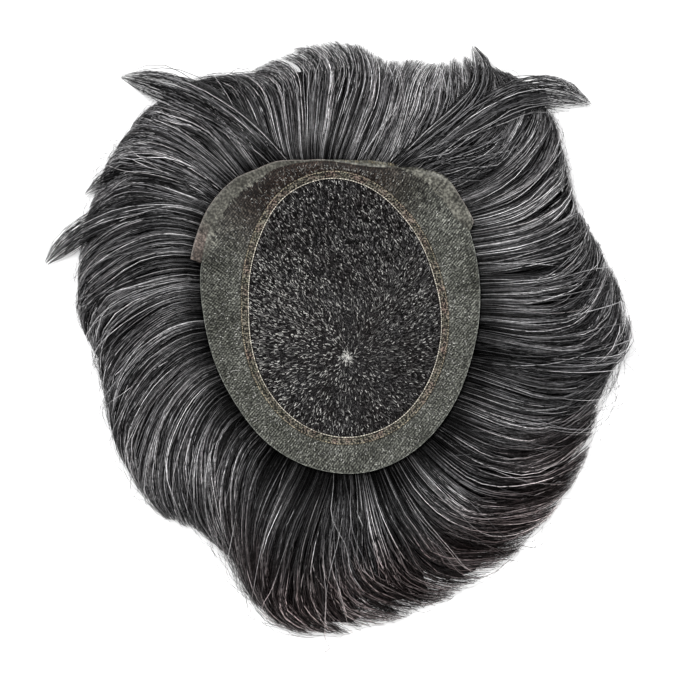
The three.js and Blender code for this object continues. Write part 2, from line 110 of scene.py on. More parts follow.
# Kinds of strand: how many to a degree of root angle, points on each, radius, how deep they lie
# as shares of the hair's height, where they start as shares of a lock's length, how much they
# gather into bundles, how far they stray from them in degrees, how much further round their ends
# turn than the others' (mean and spread, in degrees), and how grey they are
KINDS = [
    dict(count=8, steps=10, radius=0.38, depth=(0.06, 0.75), start=(-0.1, 0), gather=0.3, stray=0.35,
         turned=(0, 0), grey=0.3),
    dict(count=12, steps=12, radius=0.19, depth=(0, 0.12), start=(-0.03, 0), gather=1, stray=0.7,
         turned=(0, 0), grey=0.9),
    dict(count=12, steps=7, radius=0.19, depth=(0, 0.4), start=(0.36, 0.66), gather=0.9, stray=0.8,
         turned=(0, 8), grey=0.8),
    dict(count=7, steps=7, radius=0.12, depth=(0, 0.6), start=(0.66, 0.86), gather=0.8, stray=2.2,
         turned=(5, 18), grey=1.2),
    dict(count=1.1, steps=13, radius=0.12, depth=(0, 0), start=(0, 0.4), gather=1, stray=5.0,
         turned=(30, 35), grey=2.0)]
FLICK_STEPS = 13
FLICK_STRANDS = 300
FLICK_RADIUS = 0.25
FLICK_GREY = 0.6
# Locks, tufts and wisps: their width at the root in degrees, how much their strands close up
# towards the tip, their sideways drift in widths, their lift in millimetres, how much they share
# painted light and shade, and how much they share their grey
BUNDLES = [(6.0, 0.12, 0.24, 3.0, 0.15, 0.1), (1.9, 0.1, 0.36, 1.6, 0.16, 0.14),
           (0.6, 0.08, 0.5, 0.7, 0.17, 0.16)]
BUNDLE_KEYS = 5003  # how many bundles get random numbers of their own before these repeat
KEY_SHIFT = 1000  # keeps the bundles' keys above zero
BRIGHTEST_PAINTED_LIGHT = 2.0  # the most painted light of a strand's own, before its lock's painted shade
PAINTED_FULL_LIGHT = 1.35  # the hair's painted light where no painted shade falls on it
HAIR_FLOOR = 0.35  # the strands' least height above the surface
# The dense hair below the strands is a smaller copy of the solid: how much narrower it gets past
# the base, how far it reaches as a share of the outline, how much less in front, and its height
MAT_NARROWER = 0.04
MAT_REACH = 0.968
MAT_LESS_IN_FRONT = 0.053
MAT_FRONT_ZONE = (95, 55, 20)
MAT_HEIGHT = 0.6
# How grey the hair is, every 30 degrees of root angle
GREY = [0.95, 1.2, 2.0, 1.6, 1.2, 1.15, 1.25, 1.2, 0.9, 0.75, 0.7, 0.8]
# Painted lights and shades on the hair: their middle and radius, and how much brighter or darker
PAINTED_SHADES = [
    (0, 170, 30, 0.6), (62, 168, 24, 0.8), (-120, 136, 22, 0.6), (195, 0, 30, 0.8),
    (-165, 72, 18, 0.5), (-160, -48, 20, 0.6), (-105, -105, 20, 0.45), (132, -105, 18, 0.7),
    (165, 80, 16, 0.6), (-100, 108, 22, -0.4), (-45, 108, 16, -0.6), (80, 106, 17, -0.75),
    (-135, 45, 20, -0.5), (-82, -65, 20, -1.0), (-50, -107, 16, -0.5), (138, -45, 18, -0.7),
    (105, -137, 18, -0.8), (-105, -137, 15, -0.6), (-15, -168, 17, -0.5), (45, -197, 22, -0.9),
    (136, 155, 16, -0.7)]


def around(values, deg):
    """Values spaced evenly round a turn, on a smooth closed curve."""
    v = np.asarray(values, float)
    at = (np.asarray(deg, float) % TURN) * (len(v) / TURN)
    k = np.floor(at).astype(int)
    t = at - k
    a, b, c, d = (v[(k + i) % len(v)] for i in (-1, 0, 1, 2))
    return b + 0.5 * t * (c - a + t * (2 * a - 5 * b + 4 * c - d + t * (3 * (b - c) + d - a)))


def direction(deg):
    a = np.radians(deg)
    return np.stack([np.cos(a), np.sin(a)], -1)


def ellipse(half, deg):
    d = direction(deg)
    return 1 / np.hypot(d[..., 0] / half[0], d[..., 1] / half[1])


def border_radius(deg):
    return around(BORDER, deg) * ellipse(BORDER_HALF, deg)


def border_point(deg, out=0.0):
    return direction(deg) * (border_radius(deg) + out)[..., None]


def net_point(deg, out=0.0):
    return NET_MIDDLE + direction(deg) * (around(NET, deg) * ellipse(NET_HALF, deg) + out)[..., None]


def strip_point(deg, out=0.0):
    edge = np.interp(deg, STRIP_EDGE[:, 0], STRIP_EDGE[:, 1]) * STRIP_OVERHANG
    return border_point(deg, edge + out)


def rim_height(deg):
    return CROWN_HEIGHT + BOWL_DEPTH * around(RIM, deg)


def bowl(p):
    """Height of the underside of the base over points in the plan."""
    deg = np.degrees(np.arctan2(p[..., 1], p[..., 0]))
    out = np.hypot(p[..., 0], p[..., 1]) / border_radius(deg)
    return CROWN_HEIGHT + (rim_height(deg) - CROWN_HEIGHT) * out * out


def smooth(t):
    t = np.clip(t, 0, 1)
    return t * t * (3 - 2 * t)


def apart(a, b):
    """The angle from b to a, between minus half a turn and half a turn."""
    return (a - b + TURN / 2) % TURN - TURN / 2


def zone(deg, centre, half, edge):
    """1 in a zone of angles and 0 beyond its half width, with a soft edge inside it."""
    return smooth((half - np.abs(apart(deg, centre))) / edge)


# the frame, and where the middle of the base is in it

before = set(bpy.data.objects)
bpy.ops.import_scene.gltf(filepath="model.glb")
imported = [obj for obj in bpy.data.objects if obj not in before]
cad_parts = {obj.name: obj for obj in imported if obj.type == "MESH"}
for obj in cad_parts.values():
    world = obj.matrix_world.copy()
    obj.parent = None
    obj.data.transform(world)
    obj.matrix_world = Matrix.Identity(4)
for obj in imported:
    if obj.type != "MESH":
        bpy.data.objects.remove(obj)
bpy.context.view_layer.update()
corners = border_point(np.arange(48) * 7.5)
middle = np.array(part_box("border")[0])[:2] * MM_PER_M - corners.min(0)


def metres(p):
    return (np.asarray(p, float) + np.array([middle[0], middle[1], 0.0])) / MM_PER_M


def build(name, points, faces, material, replaces=(), uv=None, values=None, sharp=False):
    """A mesh piece from points in millimetres and faces of 3 or 4 corners, given as arrays."""
    mesh = bpy.data.meshes.new(name)
    points = metres(points)
    mesh.vertices.add(len(points))
    mesh.vertices.foreach_set("co", points.astype(np.float32).ravel())
    faces = [np.asarray(f) for f in faces if len(f)]
    loops = np.concatenate([f.ravel() for f in faces])
    sizes = np.concatenate([np.full(len(f), f.shape[1]) for f in faces])
    mesh.loops.add(len(loops))
    mesh.loops.foreach_set("vertex_index", loops.astype(np.int32))
    mesh.polygons.add(len(sizes))
    starts = np.concatenate([[0], np.cumsum(sizes)[:-1]])
    mesh.polygons.foreach_set("loop_start", starts.astype(np.int32))
    mesh.polygons.foreach_set("use_smooth", np.full(len(sizes), not sharp))
    if uv is not None:
        layer = mesh.uv_layers.new(name="OFBake")
        layer.data.foreach_set("uv", uv[loops].astype(np.float32).ravel())
    for key, value in (values or {}).items():
        attribute = mesh.attributes.new(key, "FLOAT", "POINT")
        attribute.data.foreach_set("value", value.astype(np.float32).ravel())
    mesh.update()
    mesh.validate()
    mesh.materials.append(material)
    piece = bpy.data.objects.new(name, mesh)
    bpy.context.scene.collection.objects.link(piece)
    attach(piece, "root")
    if replaces:
        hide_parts(*replaces)
    return piece


# materials

class Nodes:
    """A material's node tree, with short calls for what is used here."""

    def __init__(self, name):
        self.material = bpy.data.materials.new(name)
        self.material.use_nodes = True
        self.tree = self.material.node_tree
        self.shader = self.tree.nodes["Principled BSDF"]
        self.here = self.add("ShaderNodeTexCoord").outputs["Object"]

    def add(self, kind, sockets=None, **settings):
        node = self.tree.nodes.new(kind)
        for key, value in settings.items():
            setattr(node, key, value)
        for key, value in (sockets or {}).items():
            self.put(node.inputs[key], value)
        return node

    def put(self, socket, value):
        if isinstance(value, bpy.types.NodeSocket):
            self.tree.links.new(value, socket)
        else:
            socket.default_value = value

    def set(self, **sockets):
        for key, value in sockets.items():
            self.put(self.shader.inputs[key.replace("_", " ")], value)

    def math(self, operation, a, b=0.0, c=0.0):
        return self.add("ShaderNodeMath", {0: a, 1: b, 2: c}, operation=operation).outputs[0]

    def ramp(self, factor, *stops):
        node = self.add("ShaderNodeValToRGB", {"Fac": factor})
        elements = node.color_ramp.elements
        while len(elements) < len(stops):
            elements.new(0.5)
        for element, (at, colour) in zip(elements, stops):
            element.position = at
            element.color = (*colour, 1)
        return node.outputs["Color"]

    def mix(self, factor, a, b, blend="MIX"):
        node = self.add("ShaderNodeMix", data_type="RGBA", blend_type=blend)
        self.put(node.inputs["Factor"], factor)
        self.put(node.inputs[6], a)
        self.put(node.inputs[7], b)
        return node.outputs[2]

    def value(self, name):
        return self.add("ShaderNodeAttribute", attribute_name=name).outputs["Fac"]

    def noise(self, size, detail=2.0, vector=None):
        """Noise with features of a size in millimetres, or in the vector's own units."""
        scale = MM_PER_M / size if vector is None else 1 / size
        return self.add("ShaderNodeTexNoise", {
            "Scale": scale, "Detail": detail,
            "Vector": self.here if vector is None else vector}).outputs["Fac"]

    def speckle(self, size, *levels):
        """Grains of a size in millimetres that dim and brighten a colour between levels."""
        at = (0.3, 0.5, 0.7)
        return self.ramp(self.noise(size, 0.0), *((t, (v,) * 3) for t, v in zip(at, levels)))

    def turned(self, degrees):
        return self.add("ShaderNodeMapping", {
            "Vector": self.here, "Rotation": (0, 0, math.radians(degrees))}).outputs["Vector"]

    def bump(self, height, strength, distance=0.001):
        self.put(self.shader.inputs["Normal"], self.add("ShaderNodeBump", {
            "Height": height, "Strength": strength, "Distance": distance}).outputs["Normal"])


def grey(value):
    return (value, value, value, 1)


def hair_material(name):
    n = Nodes(name)
    tone, painted_light, warm = n.value("tone"), n.value("painted_light"), n.value("warm")
    colour = n.ramp(tone, (0.0, (0.0025, 0.0025, 0.0027)), (0.3, (0.005, 0.0049, 0.0053)),
                    (0.55, (0.011, 0.0108, 0.0115)), (0.68, (0.045, 0.0445, 0.047)),
                    (0.84, (0.16, 0.158, 0.164)), (1.0, (0.54, 0.535, 0.54)))
    brown = n.mix(1.0, colour, (1.9, 1.0, 0.85, 1), "MULTIPLY")
    colour = n.mix(n.math("MULTIPLY", warm, n.math("SUBTRACT", 1.2, tone)), colour, brown)
    # Painted light: each strand's painted light and shade, flecked along it by noise, darkens and
    # brightens its colour and scales its specular
    flecks = n.noise(2.4, 1.0)
    light = n.math("MULTIPLY", painted_light, n.math("MULTIPLY_ADD", flecks, 2.4, 0.1))
    colour = n.mix(1.0, colour, light, "MULTIPLY")
    n.set(Base_Color=colour, Roughness=0.32,
          Specular_IOR_Level=n.math("MULTIPLY", light, n.math("MULTIPLY_ADD", tone, 0.5, 0.1)))
    return n.material


def mat_material():
    """The dense dark hair below the strands."""
    n = Nodes("hair_mat")
    streaks = n.noise(5.0, 3.0)
    n.set(Base_Color=n.ramp(streaks, (0.3, (0.002, 0.002, 0.0025)), (0.7, (0.008, 0.0075, 0.0085))),
          Roughness=0.8, Specular_IOR_Level=0.02)
    n.bump(streaks, 0.6, 0.001)
    return n.material


def whorl_streaks(n, fine=80.0, long=22.0):
    """Noise drawn out along the lines that radiate from the whorl, from 0 to 1."""
    whorl = (middle + WHORL) / MM_PER_M
    place = n.add("ShaderNodeMapping", {
        "Vector": n.here, "Location": (-whorl[0], -whorl[1], 0)}).outputs["Vector"]
    turn = n.add("ShaderNodeTexGradient", {"Vector": place}, gradient_type="RADIAL").outputs["Fac"]
    far = n.add("ShaderNodeVectorMath", {0: place}, operation="LENGTH").outputs["Value"]
    around_it = n.math("MULTIPLY", turn, 2 * math.pi * fine)
    outward = n.math("MULTIPLY", n.math("LOGARITHM", far, math.e), long)
    vector = n.add("ShaderNodeCombineXYZ", {0: around_it, 1: outward}).outputs["Vector"]
    return n.noise(1.0, 2.0, vector)


def bands(n, turn, period):
    """Lines with a period in millimetres, running at an angle in the plan. The node's own period
    is a tenth of pi at a scale of 1."""
    return n.add("ShaderNodeTexWave", {
        "Vector": n.turned(turn), "Scale": math.pi / 10 * MM_PER_M / period,
        "Distortion": 0.6, "Detail": 1.0, "Detail Scale": 0.3},
        wave_type="BANDS").outputs["Fac"]


def net_material():
    n = Nodes("lace_net")
    weave = n.math("MAXIMUM", bands(n, 30, 1.1), bands(n, -35, 1.1))
    patches, streaks = n.noise(18.0, 3.0), whorl_streaks(n)
    dark = n.ramp(patches, (0.3, (0.0034, 0.0026, 0.0025)), (0.7, (0.0082, 0.0079, 0.0082)))
    colour = n.mix(n.math("MULTIPLY", n.math("POWER", weave, 5.0), 0.35), dark,
                   (0.03, 0.0295, 0.03, 1))
    colour = n.mix(1.0, colour, n.speckle(1.0, 0.25, 1.0, 3.4), "MULTIPLY")
    colour = n.mix(1.0, colour, n.ramp(streaks, (0.36, (0.25,) * 3), (0.52, (1.0,) * 3),
                                       (0.68, (5.0,) * 3)), "MULTIPLY")
    n.set(Base_Color=colour, Roughness=0.85, Specular_IOR_Level=0.02)
    n.bump(weave, 0.3, 0.0003)
    return n.material


def border_material():
    """Clear skin over gauze with slanting lines: brown where it lies on dark hair at the front,
    and pale where only film is left at the front edge."""
    n = Nodes("coated_gauze")
    lines, cross = bands(n, 38, 1.7), bands(n, -52, 2.0)
    patches, streaks = n.noise(22.0, 3.0), whorl_streaks(n, 110.0, 26.0)
    colour = n.ramp(patches, (0.3, (0.028, 0.029, 0.024)), (0.7, (0.078, 0.08, 0.07)))
    dark = n.ramp(patches, (0.3, (0.0065, 0.0043, 0.0033)), (0.7, (0.02, 0.0133, 0.0105)))
    colour = n.mix(n.value("shade"), colour, dark)
    net = n.ramp(n.math("MULTIPLY_ADD", cross, 0.2, n.math("MULTIPLY", lines, 0.8)),
                 (0.1, (0.5,) * 3), (0.9, (1.7,) * 3))
    colour = n.mix(1.0, colour, net, "MULTIPLY")
    colour = n.mix(1.0, colour, n.speckle(1.1, 0.45, 0.95, 2.0), "MULTIPLY")
    colour = n.mix(1.0, colour, n.ramp(streaks, (0.33, (0.3,) * 3), (0.5, (0.92,) * 3),
                                       (0.7, (3.0,) * 3)), "MULTIPLY")
    ragged = n.ramp(n.math("MULTIPLY_ADD", streaks, 1.5, n.value("pale")),
                    (0.95, (0, 0, 0)), (1.3, (1, 1, 1)))
    colour = n.mix(ragged, colour, film_colour(n))
    n.set(Base_Color=colour, Roughness=0.5, Specular_IOR_Level=0.15)
    n.bump(lines, 0.25, 0.0003)
    return n.material


def film_colour(n):
    colour = n.ramp(n.noise(12.0, 3.0), (0.3, (0.062, 0.061, 0.051)), (0.7, (0.155, 0.152, 0.13)))
    strokes = n.ramp(whorl_streaks(n, 70.0, 9.0), (0.34, (0.4,) * 3), (0.48, (1.0,) * 3),
                     (0.7, (1.25,) * 3))
    colour = n.mix(1.0, colour, strokes, "MULTIPLY")
    return n.mix(1.0, colour, n.speckle(1.5, 0.5, 0.95, 1.7), "MULTIPLY")


def film_material():
    n = Nodes("clear_film")
    pink = n.mix(1.0, film_colour(n), (0.95, 0.78, 0.8, 1), "MULTIPLY")
    dim = n.mix(n.value("dim"), film_colour(n), (0.022, 0.019, 0.015, 1))
    n.set(Base_Color=n.mix(n.value("shade"), dim, pink),
          Roughness=n.math("MULTIPLY_ADD", n.noise(11.0, 2.0), 0.3, 0.3), Specular_IOR_Level=0.3)
    n.bump(n.noise(7.0, 2.0), 0.2, 0.0006)
    return n.material


def tape_material():
    n = Nodes("seam_tape")
    colour = n.ramp(n.noise(9.0, 3.0), (0.3, (0.024, 0.024, 0.018)), (0.5, (0.034, 0.031, 0.025)),
                    (0.7, (0.042, 0.029, 0.025)))
    colour = n.mix(1.0, colour, n.speckle(1.2, 0.05, 0.9, 6.5), "MULTIPLY")
    n.set(Base_Color=colour, Roughness=0.65, Specular_IOR_Level=0.15)
    n.bump(n.noise(1.0, 2.0), 0.3, 0.0003)
    return n.material


def thread_material(name, dull, bright, roughness=0.5):
    n = Nodes(name)
    fine = n.noise(1.2, 2.0)
    colour = n.mix(n.value("tone"), (*dull, 1), (*bright, 1))
    colour = n.mix(0.6, colour, n.ramp(fine, (0.3, (0.6,) * 3), (0.7, (1.4,) * 3)), "MULTIPLY")
    n.set(Base_Color=colour, Roughness=roughness)
    n.bump(fine, 0.3, 0.0002)
    return n.material


# tubes and sheets

def tubes(paths, radii, sides=3, roll=None):
    """Closed tubes along paths (strand, point, 3), with a radius for each point."""
    count, steps = paths.shape[:2]
    way = np.gradient(paths, axis=1)
    way /= np.linalg.norm(way, axis=-1, keepdims=True) + 1e-9
    side = np.stack([way[..., 1], -way[..., 0], np.zeros_like(way[..., 0])], -1)
    side /= np.linalg.norm(side, axis=-1, keepdims=True) + 1e-9
    up = np.cross(side, way)
    roll = np.zeros(count) if roll is None else roll
    turn = roll[:, None] + np.arange(sides) * 2 * math.pi / sides + math.pi / 2
    ring = (np.cos(turn)[:, None, :, None] * side[:, :, None]
            + np.sin(turn)[:, None, :, None] * up[:, :, None])
    points = paths[:, :, None] + ring * radii[:, :, None, None]
    index = np.arange(count * steps * sides).reshape(count, steps, sides)
    nxt = np.roll(index, -1, axis=2)
    quads = np.stack([index[:, :-1], index[:, 1:], nxt[:, 1:], nxt[:, :-1]], -1).reshape(-1, 4)
    ends = [index[:, 0], index[:, -1, ::-1]]
    return points.reshape(-1, 3), [quads, *ends]


def per_point(values, steps, sides):
    return np.repeat(np.asarray(values, float), steps * sides)


def cells(count, steps, sides, first=0, total=None):
    """Texture places that give each strand a cell of its own, running along it."""
    total = total or count
    columns = math.ceil(math.sqrt(total / 4))
    rows = math.ceil(total / columns)
    k = first + np.arange(count)
    u0, v0 = (k % columns) / columns, (k // columns) / rows
    across = np.linspace(0.2, 0.8, sides) / columns
    along = np.linspace(0.1, 0.9, steps) / rows
    uv = np.empty((count, steps, sides, 2))
    uv[..., 0] = u0[:, None, None] + across[None, None]
    uv[..., 1] = v0[:, None, None] + along[None, :, None]
    return uv.reshape(-1, 2)


def shell(inside, outside, low, high, rings, steps=192, ends=None):
    """A closed sheet between two lines given by angle and two heights given by point and share."""
    closed = ends is None
    deg = np.arange(steps) * TURN / steps if closed else np.linspace(*ends, steps)
    share = np.linspace(0, 1, rings + 1)
    flat = (inside(deg)[:, None] * (1 - share)[None, :, None]
            + outside(deg)[:, None] * share[None, :, None])
    layers = []
    for height in (high, low):
        z = height(flat, share[None, :] + 0 * flat[..., 0], deg[:, None] + 0 * flat[..., 0])
        layers.append(np.concatenate([flat, z[..., None]], -1))
    points = np.concatenate([layer.reshape(-1, 3) for layer in layers])
    top = np.arange(steps * (rings + 1)).reshape(steps, rings + 1)
    under = top + top.size
    i = np.arange(steps if closed else steps - 1)
    j = (i + 1) % steps
    faces = []
    for k in range(rings):
        faces.append(np.stack([top[i, k], top[i, k + 1], top[j, k + 1], top[j, k]], -1))
        faces.append(np.stack([under[i, k], under[j, k], under[j, k + 1], under[i, k + 1]], -1))
    faces.append(np.stack([top[i, rings], under[i, rings], under[j, rings], top[j, rings]], -1))
    faces.append(np.stack([top[i, 0], top[j, 0], under[j, 0], under[i, 0]], -1))
    if not closed:
        for a, b in ((0, 1), (steps - 1, -1)):
            for k in range(rings):
                quad = [top[a, k], under[a, k], under[a, k + 1], top[a, k + 1]]
                faces.append(np.array([quad[::b]]))
    return points, faces


# the hair

def guide(root):
    """Leave, tip and arrive angles and reach for any root angle."""
    turn = np.array([TURN, TURN, TURN, TURN, 0])
    rows = np.concatenate([GUIDES + turn * k for k in (-1, 0, 1)])
    leave, tip, arrive, reach = (np.interp(root, rows[:, 0], rows[:, k]) for k in range(1, 5))
    return leave, tip, arrive - FRONT_TURN * zone(root, *FRONT_ZONE), reach


def hermite(root, leave, tip, arrive, reach, t, late=1.0):
    """Points in the plan on a lock's line, also a little before its root and past its tip. It
    bends late where its pull at the tip is more than 1."""
    start = border_point(root, -ROOT_INSET)
    end = direction(tip) * (reach * HAIR_REACH)[..., None]
    pull = CURVE_PULL * np.linalg.norm(end - start, axis=-1)[..., None]
    first, last = direction(leave) * pull, direction(arrive) * pull
    s = np.clip(t, 0, 1)[..., None]
    h = [2 * s**3 - 3 * s**2 + 1, s**3 - 2 * s**2 + s, 3 * s**2 - 2 * s**3, s**3 - s**2]
    point = h[0] * start + h[1] * first + h[2] * end + h[3] * late * last
    return point + np.minimum(t, 0)[..., None] * first + np.maximum(t - 1, 0)[..., None] * last


def wobble(rng, count, t, waves, size):
    """Smooth sideways drift along each strand: a few slow waves of random phase."""
    out = np.zeros((count, t.shape[-1]))
    for k in waves:
        phase = rng.uniform(0, 2 * math.pi, (count, 1))
        out += np.sin(2 * math.pi * k * t + phase) * rng.normal(0, 1, (count, 1)) / k
    return out * size


def lip_drop(share, deg):
    """How far the strip's outer edge turns down between the lip's two ends."""
    past = np.clip((deg - LIP_ENDS[0]) / (LIP_ENDS[1] - LIP_ENDS[0]), 0, 1)
    return LIP_DROP * np.sin(past * math.pi) * smooth(4 * share - 3)


def fit_under_base(xy, z, room):
    """Strands stay below the base and its strip, and above the surface."""
    deg = np.degrees(np.arctan2(xy[..., 1], xy[..., 0])) % TURN
    radius = np.hypot(xy[..., 0], xy[..., 1])
    edge = border_radius(deg)
    on_strip = (deg > STRIP_ENDS[0]) & (deg < STRIP_ENDS[1])
    strip = np.where(on_strip, np.interp(deg, *STRIP_EDGE.T) * STRIP_OVERHANG, 0)
    share = np.clip((radius - edge + STRIP_LAP) / (STRIP_LAP + strip), 0, 1.3)
    below = bowl(xy) - room - np.where(on_strip, 1.8 + lip_drop(1.35 * share, deg), 0)
    inside = smooth((edge + strip + 5 - radius) / 5)
    z = np.where(radius < edge + strip + 5, np.minimum(z, z + (below - z) * inside), z)
    return np.maximum(z, HAIR_FLOOR)


def drawn(seed, key):
    """A random number from -1 to 1 for each key, the same for all strands with that key."""
    return np.random.default_rng(SEED + seed).uniform(-1, 1, BUNDLE_KEYS)[key % BUNDLE_KEYS]


def drift(seed, key, t, waves=(0.6, 1.3, 2.2)):
    """Smooth sideways drift along t, the same for all strands with that key."""
    return sum(np.sin(2 * math.pi * (k * t + drawn(seed + i, key)[:, None]))
               * drawn(seed + 20 + i, key)[:, None] / k ** 0.8 for i, k in enumerate(waves))


def tones(rng, root, keys, grey):
    """How grey each strand is, from 0 to 1: partly as its lock, tuft and wisp are."""
    mixed = sum(bundle[-1] * 1.7 * drawn(70 + i, key) for i, (key, bundle) in
                enumerate(zip(keys, BUNDLES)))
    mixed = mixed + 0.95 * rng.normal(0, 1, len(root))
    rank = 0.5 * (1 + np.vectorize(math.erf)(mixed / math.sqrt(2)))
    return rank ** (1 / (grey * around(GREY, root)))


def thickness(rng, radius, s, tone):
    """A strand's radius along its length: grey strands are thicker, and both ends are thin."""
    own = radius * rng.uniform(0.75, 1.15, (len(tone), 1)) * (0.85 + 0.3 * tone[:, None])
    return own * (1 - 0.6 * smooth((s - 0.85) / 0.15)) * (0.6 + 0.4 * smooth(s / 0.1))


def painted_light_and_shade(root, t, xy):
    """Painted shade beside the base, where the hair lies below the border, but less so in front."""
    # Painted shade beside the base, lighter in front
    near = 0.05 + 0.24 * smooth(1.6 * np.sin(np.radians(root + 8)) - 0.2)
    # Painted highlight band: the hair brightens past the base to its full painted light about a third
    # along, then dims towards the tips
    level = near + (PAINTED_FULL_LIGHT - near) * np.interp(t, [0.04, 0.17, 0.3, 0.5, 0.8, 1],
                                                   [0, 0.25, 1, 0.9, 0.72, 0.65])
    # Painted lights and shades: soft round spots that brighten or darken the hair
    for x, y, radius, gain in PAINTED_SHADES:
        away = np.hypot(xy[..., 0] - x, xy[..., 1] - y) / radius
        level = level * np.exp(gain * np.exp(-(away**2)))
    return level


def lock_strands(rng, low, high, kind, out):
    """The strands of one kind with roots between two angles."""
    count = int((high - low) * kind["count"] / (1))
    root = rng.uniform(low, high, count)
    keys = [np.floor(root / width + KEY_SHIFT).astype(int) for width, *_ in BUNDLES]
    depth = rng.uniform(*kind["depth"], count) ** 1.2
    end = 1.02 + 0.015 * drawn(7, keys[0]) + 0.025 * drawn(8, keys[1]) - 0.06 * depth
    # Most end close to the outline, and one in five anywhere in the last third of its lock
    end -= np.where(rng.random(count) < 0.8, np.abs(rng.normal(0, 0.02, count)),
                    rng.uniform(0, 0.3, count))
    start = rng.uniform(*kind["start"], count) - 0.1 * depth * (kind["start"][1] <= 0)
    end = np.maximum(end, start + 0.12)
    s = np.linspace(0, 1, kind["steps"])[None, :]
    t = start[:, None] + (end - start)[:, None] * s
    # They gather less in front, where the hair fans out
    calm = 1 - 0.6 * zone(root, 85, 45, 25)
    gather = kind["gather"] * calm[:, None] * smooth((t - 0.05) / 0.95)
    r = np.repeat(root[:, None], kind["steps"], axis=1)
    lift, painted_light = np.zeros_like(t), np.zeros_like(t)
    for i, (key, (width, close, amount, rise, painted_shine, _)) in enumerate(zip(keys, BUNDLES)):
        middle_root = (key + 0.5 - KEY_SHIFT + 0.3 * drawn(i, key)) * width
        r = r + (middle_root[:, None] - r) * close * gather
        r = r + width * amount * drift(100 * i + 100, key, t) * gather
        # Each bundle's wave lifts its strands and paints bands of light and shade along them
        wave = drift(100 * i + 150, key, t, (0.8, 1.7))
        lift = lift + rise * wave * (0.25 + 0.75 * gather)
        painted_light = painted_light + painted_shine * wave
    loose = kind["stray"]
    r = r + wobble(rng, count, t, (1.0, 2.1, 3.7), 0.5 * min(loose, 1) ** 0.5) * (0.15 + gather)
    # Two in five leave their bundle towards the tip
    off = rng.normal(0, loose, (count, 1)) * np.clip(t, 0, 1) ** 2
    r = r + np.where(rng.random((count, 1)) < 0.4, off, 0)
    leave, tip, arrive, reach = guide(r)
    late = 1 + LATE_BEND * zone(r, *LATE_ZONE)
    arrive = arrive + rng.normal(*kind["turned"], (count, 1))
    xy = hermite(r, leave, tip, arrive, reach, t, late[..., None])
    lock_width = BUNDLES[0][0]
    lock_middle = (keys[0] + 0.5 - KEY_SHIFT)[:, None] * lock_width
    across = np.clip((r - lock_middle) / (0.55 * lock_width), -1, 1)
    ridge = (0.4 - across**2) * (1.0 + 5.0 * gather)
    top = rim_height(r) * np.interp(t, TOP_ALONG, TOP_SHARE)
    z = (top + ridge + lift) * (1 - 0.88 * depth[:, None]) + rng.normal(0, 0.5, (count, 1))
    z = fit_under_base(xy, z + 0.4 * np.abs(off), 1.0 + 4 * depth[:, None])
    tone = tones(rng, root, keys, kind["grey"])
    # The hair at the back is browner towards its ends
    behind = np.clip((np.cos(np.radians(r - 275)) - 0.6) * 2.6, 0, 1) * smooth((t - 0.35) / 0.4)
    warm = np.clip(rng.normal(0.0, 0.08, (count, 1)) + 0.75 * behind, 0, 1)
    # Painted light along each strand: its bundles' painted bands and a wobble of its own, capped,
    # then the painted light and shade by place
    painted_light = np.exp(painted_light + wobble(rng, count, t, (0.7, 1.6, 3.1), 0.55))
    painted_light = np.minimum(painted_light, BRIGHTEST_PAINTED_LIGHT) * painted_light_and_shade(root[:, None], t, xy)
    radii = thickness(rng, kind["radius"], s, tone)
    # Strands that lie deeper get painted shade
    out.append((np.concatenate([xy, z[..., None]], -1), radii, tone, warm,
                painted_light * (1 - 0.75 * depth[:, None])))


def flick_strands(rng, row, out):
    """A single lock as wide as the solid that it stands for, its strands side by side. Three in ten
    of them end early."""
    root, leave, tip, arrive, reach, width, rise = row
    count = int(FLICK_STRANDS * width / (1))
    s = np.linspace(0, 1, FLICK_STEPS)[None, :]
    t = s * np.where(rng.random(count) < 0.7, rng.uniform(0.95, 1.06, count),
                     rng.uniform(0.7, 0.97, count))[:, None]
    ones = np.ones_like(t)
    line = hermite(root * ones, leave * ones, tip * ones, arrive * ones, reach * ones, t)
    way = np.gradient(line, axis=1)
    way /= np.linalg.norm(way, axis=-1, keepdims=True)
    side = rng.uniform(-1, 1, (count, 1)) + wobble(rng, count, t, (0.6, 1.5, 3.1), 0.16)
    half = np.interp(t, TOP_ALONG, WIDTH_SHARE) * (1 - 0.6 * smooth((t - 1) / 0.06))
    across = (side * half * LOCK_WIDTH * width / 2)[..., None]
    xy = line + across * np.stack([way[..., 1], -way[..., 0]], -1)
    depth = rng.uniform(0, 0.5, (count, 1))
    top = rim_height(root) * rise * np.interp(t, TOP_ALONG, TOP_SHARE)
    z = (top + 3 - 4 * np.clip(side, -1, 1)**2) * (1 - depth * 0.6) + rng.normal(0, 0.5, (count, 1))
    z = fit_under_base(xy, z, 1.0)
    tone = tones(rng, np.full(count, root), [rng.integers(0, 5000, count) for _ in BUNDLES],
                 FLICK_GREY)
    # Painted light along each strand, with the hair's painted light and shade by place
    painted_light = np.exp(wobble(rng, count, t, (0.7, 1.6, 3.1), 0.3)) * painted_light_and_shade(root, t, xy)
    radii = thickness(rng, FLICK_RADIUS, s, tone)
    # Strands that lie deeper get painted shade
    out.append((np.concatenate([xy, z[..., None]], -1), radii, tone, np.zeros_like(t),
                painted_light * (1 - depth)))


